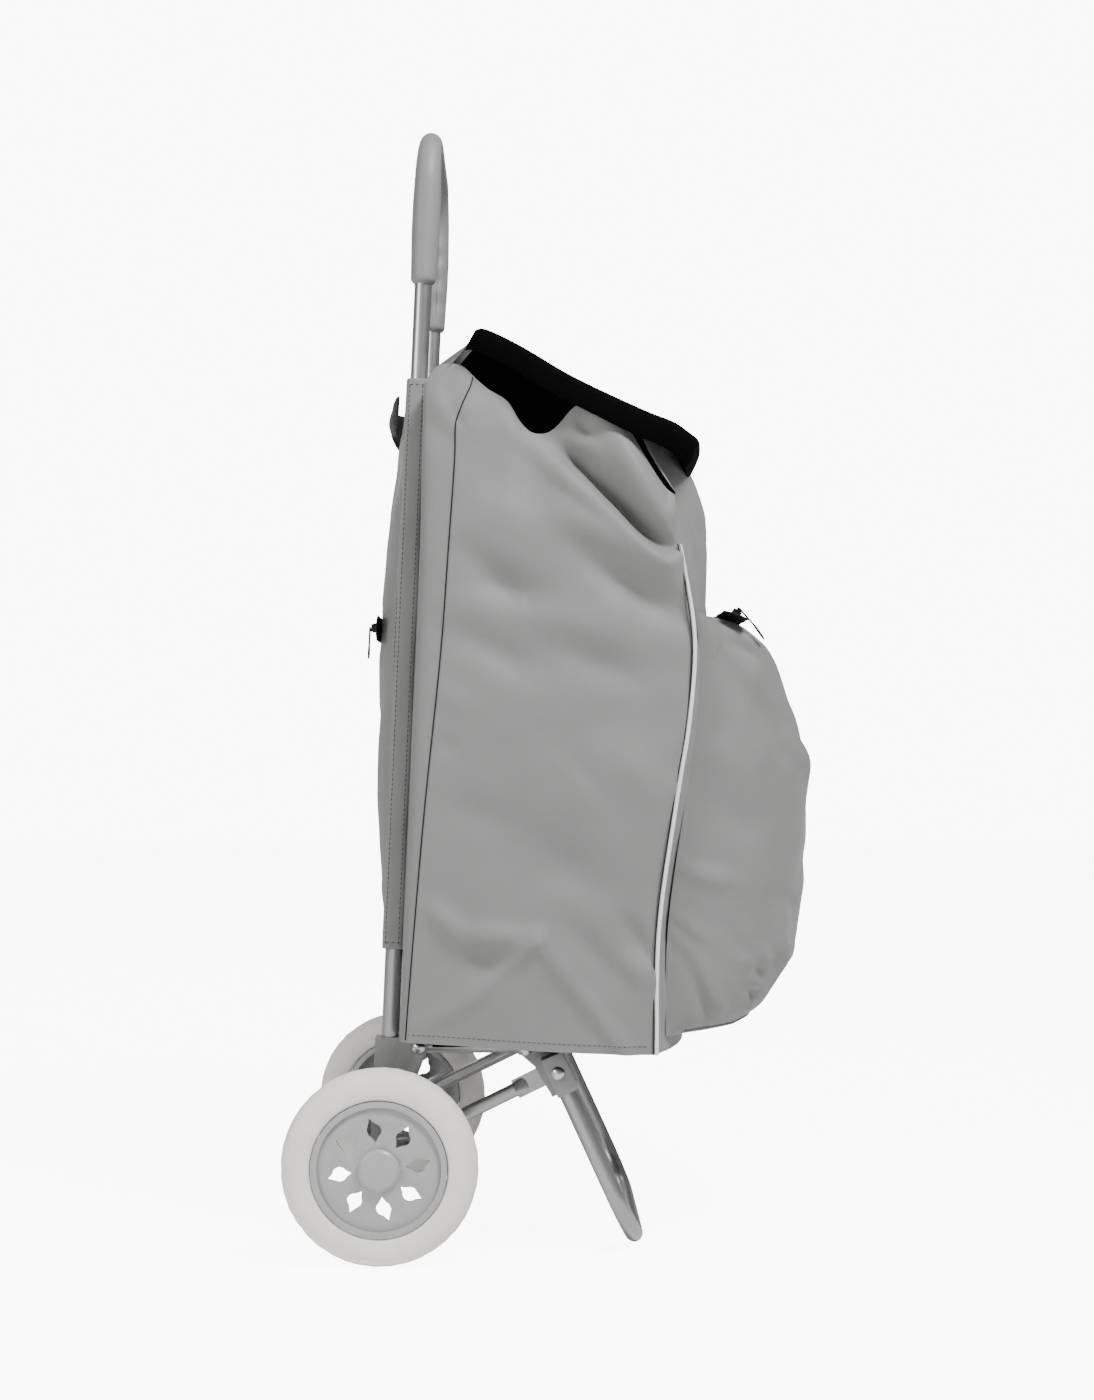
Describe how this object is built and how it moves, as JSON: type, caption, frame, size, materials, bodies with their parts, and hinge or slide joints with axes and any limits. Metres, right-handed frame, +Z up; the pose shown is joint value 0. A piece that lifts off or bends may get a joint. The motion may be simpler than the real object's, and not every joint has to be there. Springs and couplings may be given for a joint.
{
  "type": "shopping trolley",
  "caption": "Folding two-wheeled shopping trolley: tubular frame with a hinged front leg and platform, a grey canvas bag with a lid and a front pocket.",
  "frame": {"origin": "centre of the box's base, on the ground under the bag", "axes": "+Z up, X along the wheels' axle, -Y towards the front pocket, +Y towards the person who pulls it"},
  "size_m": [0.3836, 0.4573, 0.971],
  "materials": {
    "painted_tube": "silver-grey powder coat",
    "bracket_plastic": "moulded grey nylon",
    "grip_rubber": "soft grey rubber",
    "tyre_foam": "cream foamed rubber",
    "hub_plastic": "moulded grey plastic",
    "zinc_steel": "bright zinc plate",
    "bag_fabric": "coated grey canvas",
    "lining_fabric": "black lining cloth",
    "piping_cord": "light woven piping",
    "zip_tape": "dark zip tape",
    "zip_metal": "black lacquered zip hardware",
    "webbing": "black webbing",
    "base_board": "stiff plastic board"
  },
  "bodies": {
    "frame": {"handle_frame": "painted_tube", "handle_grip": "grip_rubber", "left_corner_bracket": "bracket_plastic", "right_corner_bracket": "bracket_plastic", "bracket_screws": "zinc_steel", "axle": "zinc_steel", "wheel_spacers": "bracket_plastic", "axle_push_nuts": "zinc_steel", "platform_pivot_bolts": "zinc_steel", "platform_pivot_nuts": "zinc_steel", "bag_back_panel": "bag_fabric", "bag_front_panel": "bag_fabric", "left_bag_side_panel": "bag_fabric", "right_bag_side_panel": "bag_fabric", "left_upright_sleeve": "bag_fabric", "right_upright_sleeve": "bag_fabric", "bag_collar": "lining_fabric", "left_corner_piping": "piping_cord", "right_corner_piping": "piping_cord", "front_pocket": "bag_fabric", "back_pocket": "bag_fabric", "back_zip_tape": "zip_tape", "grab_handle": "webbing"},
    "left_wheel": {"left_tyre": "tyre_foam", "left_wheel_hub": "hub_plastic", "left_hub_cap": "hub_plastic"},
    "right_wheel": {"right_tyre": "tyre_foam", "right_wheel_hub": "hub_plastic", "right_hub_cap": "hub_plastic"},
    "platform": {"platform_frame": "painted_tube", "platform_cross_rods": "painted_tube", "leg_pivot_bolts": "zinc_steel", "leg_pivot_nuts": "zinc_steel", "bag_bottom_panel": "bag_fabric", "bag_base_board": "base_board"},
    "leg": {"foot_frame": "painted_tube", "left_leg_bracket": "bracket_plastic", "right_leg_bracket": "bracket_plastic", "strut_bolts": "zinc_steel", "strut_nuts": "zinc_steel"},
    "struts": {"left_strut": "painted_tube", "right_strut": "painted_tube"},
    "lid_hinge": {"lid_hinge_tape": "lining_fabric"},
    "lid": {"bag_lid": "lining_fabric"},
    "front_zip": {"front_zip_tape": "zip_tape"},
    "front_slider": {"front_zip_slider": "zip_metal"},
    "front_pull": {"front_zip_pull": "zip_metal"},
    "back_slider": {"back_zip_slider": "zip_metal"},
    "back_pull": {"back_zip_pull": "zip_metal"}
  },
  "joints": [
    {"name": "left_wheel_spin", "type": "hinge", "parent": "frame", "child": "left_wheel", "pos_m": [-0.17275, 0.14615, 0.0825], "axis": [1, 0, 0], "continuous": true},
    {"name": "right_wheel_spin", "type": "hinge", "parent": "frame", "child": "right_wheel", "pos_m": [0.17275, 0.14615, 0.0825], "axis": [1, 0, 0], "continuous": true},
    {"name": "platform_fold", "type": "hinge", "parent": "frame", "child": "platform", "pos_m": [0, 0.11695, 0.1726], "axis": [-1, 0, 0], "range_deg": [0, 72], "deforming": ["bag_front_panel", "left_bag_side_panel", "right_bag_side_panel", "bag_collar", "left_corner_piping", "right_corner_piping", "front_pocket", "bag_back_panel"]},
    {"name": "leg_fold", "type": "hinge", "parent": "platform", "child": "leg", "pos_m": [0, 0.02545, 0.1726], "axis": [1, 0, 0], "range_deg": [0, 103.7]},
    {"name": "strut_swing", "type": "hinge", "parent": "frame", "child": "struts", "pos_m": [0, 0.14615, 0.0825], "axis": [-1, 0, 0], "range_deg": [0, 37.1]},
    {"name": "lid_carry", "type": "slide", "parent": "frame", "child": "lid_hinge", "axis": [0, 0.999, 0.044], "range_m": [0, 0.03401]},
    {"name": "lid_open", "type": "hinge", "parent": "lid_hinge", "child": "lid", "pos_m": [0, 0.06735, 0.778], "axis": [-1, 0, 0], "range_deg": [0, 104]},
    {"name": "front_zip_carry", "type": "slide", "parent": "frame", "child": "front_zip", "axis": [0, 0.999, 0.044], "range_m": [0, 0.25221]},
    {"name": "front_zip_slide", "type": "slide", "parent": "front_zip", "child": "front_slider", "axis": [1, 0, 0], "range_m": [0, 0.232]},
    {"name": "front_pull_swing", "type": "hinge", "parent": "front_slider", "child": "front_pull", "pos_m": [-0.117, -0.157, 0.54918], "axis": [-1, 0, 0], "range_deg": [0, 150]},
    {"name": "back_zip_slide", "type": "slide", "parent": "frame", "child": "back_slider", "axis": [1, 0, 0], "range_m": [0, 0.135]},
    {"name": "back_pull_swing", "type": "hinge", "parent": "back_slider", "child": "back_pull", "pos_m": [-0.068, 0.16176, 0.53514], "axis": [1, 0, 0], "range_deg": [0, 150]}
  ],
  "couplings": [
    {"joint": "leg_fold", "follows": "platform_fold", "ratio": 1.44},
    {"joint": "strut_swing", "follows": "platform_fold", "ratio": 0.515},
    {"joint": "front_zip_carry", "follows": "platform_fold", "m_per_rad": 0.20069},
    {"joint": "lid_carry", "follows": "platform_fold", "m_per_rad": 0.027056}
  ]
}
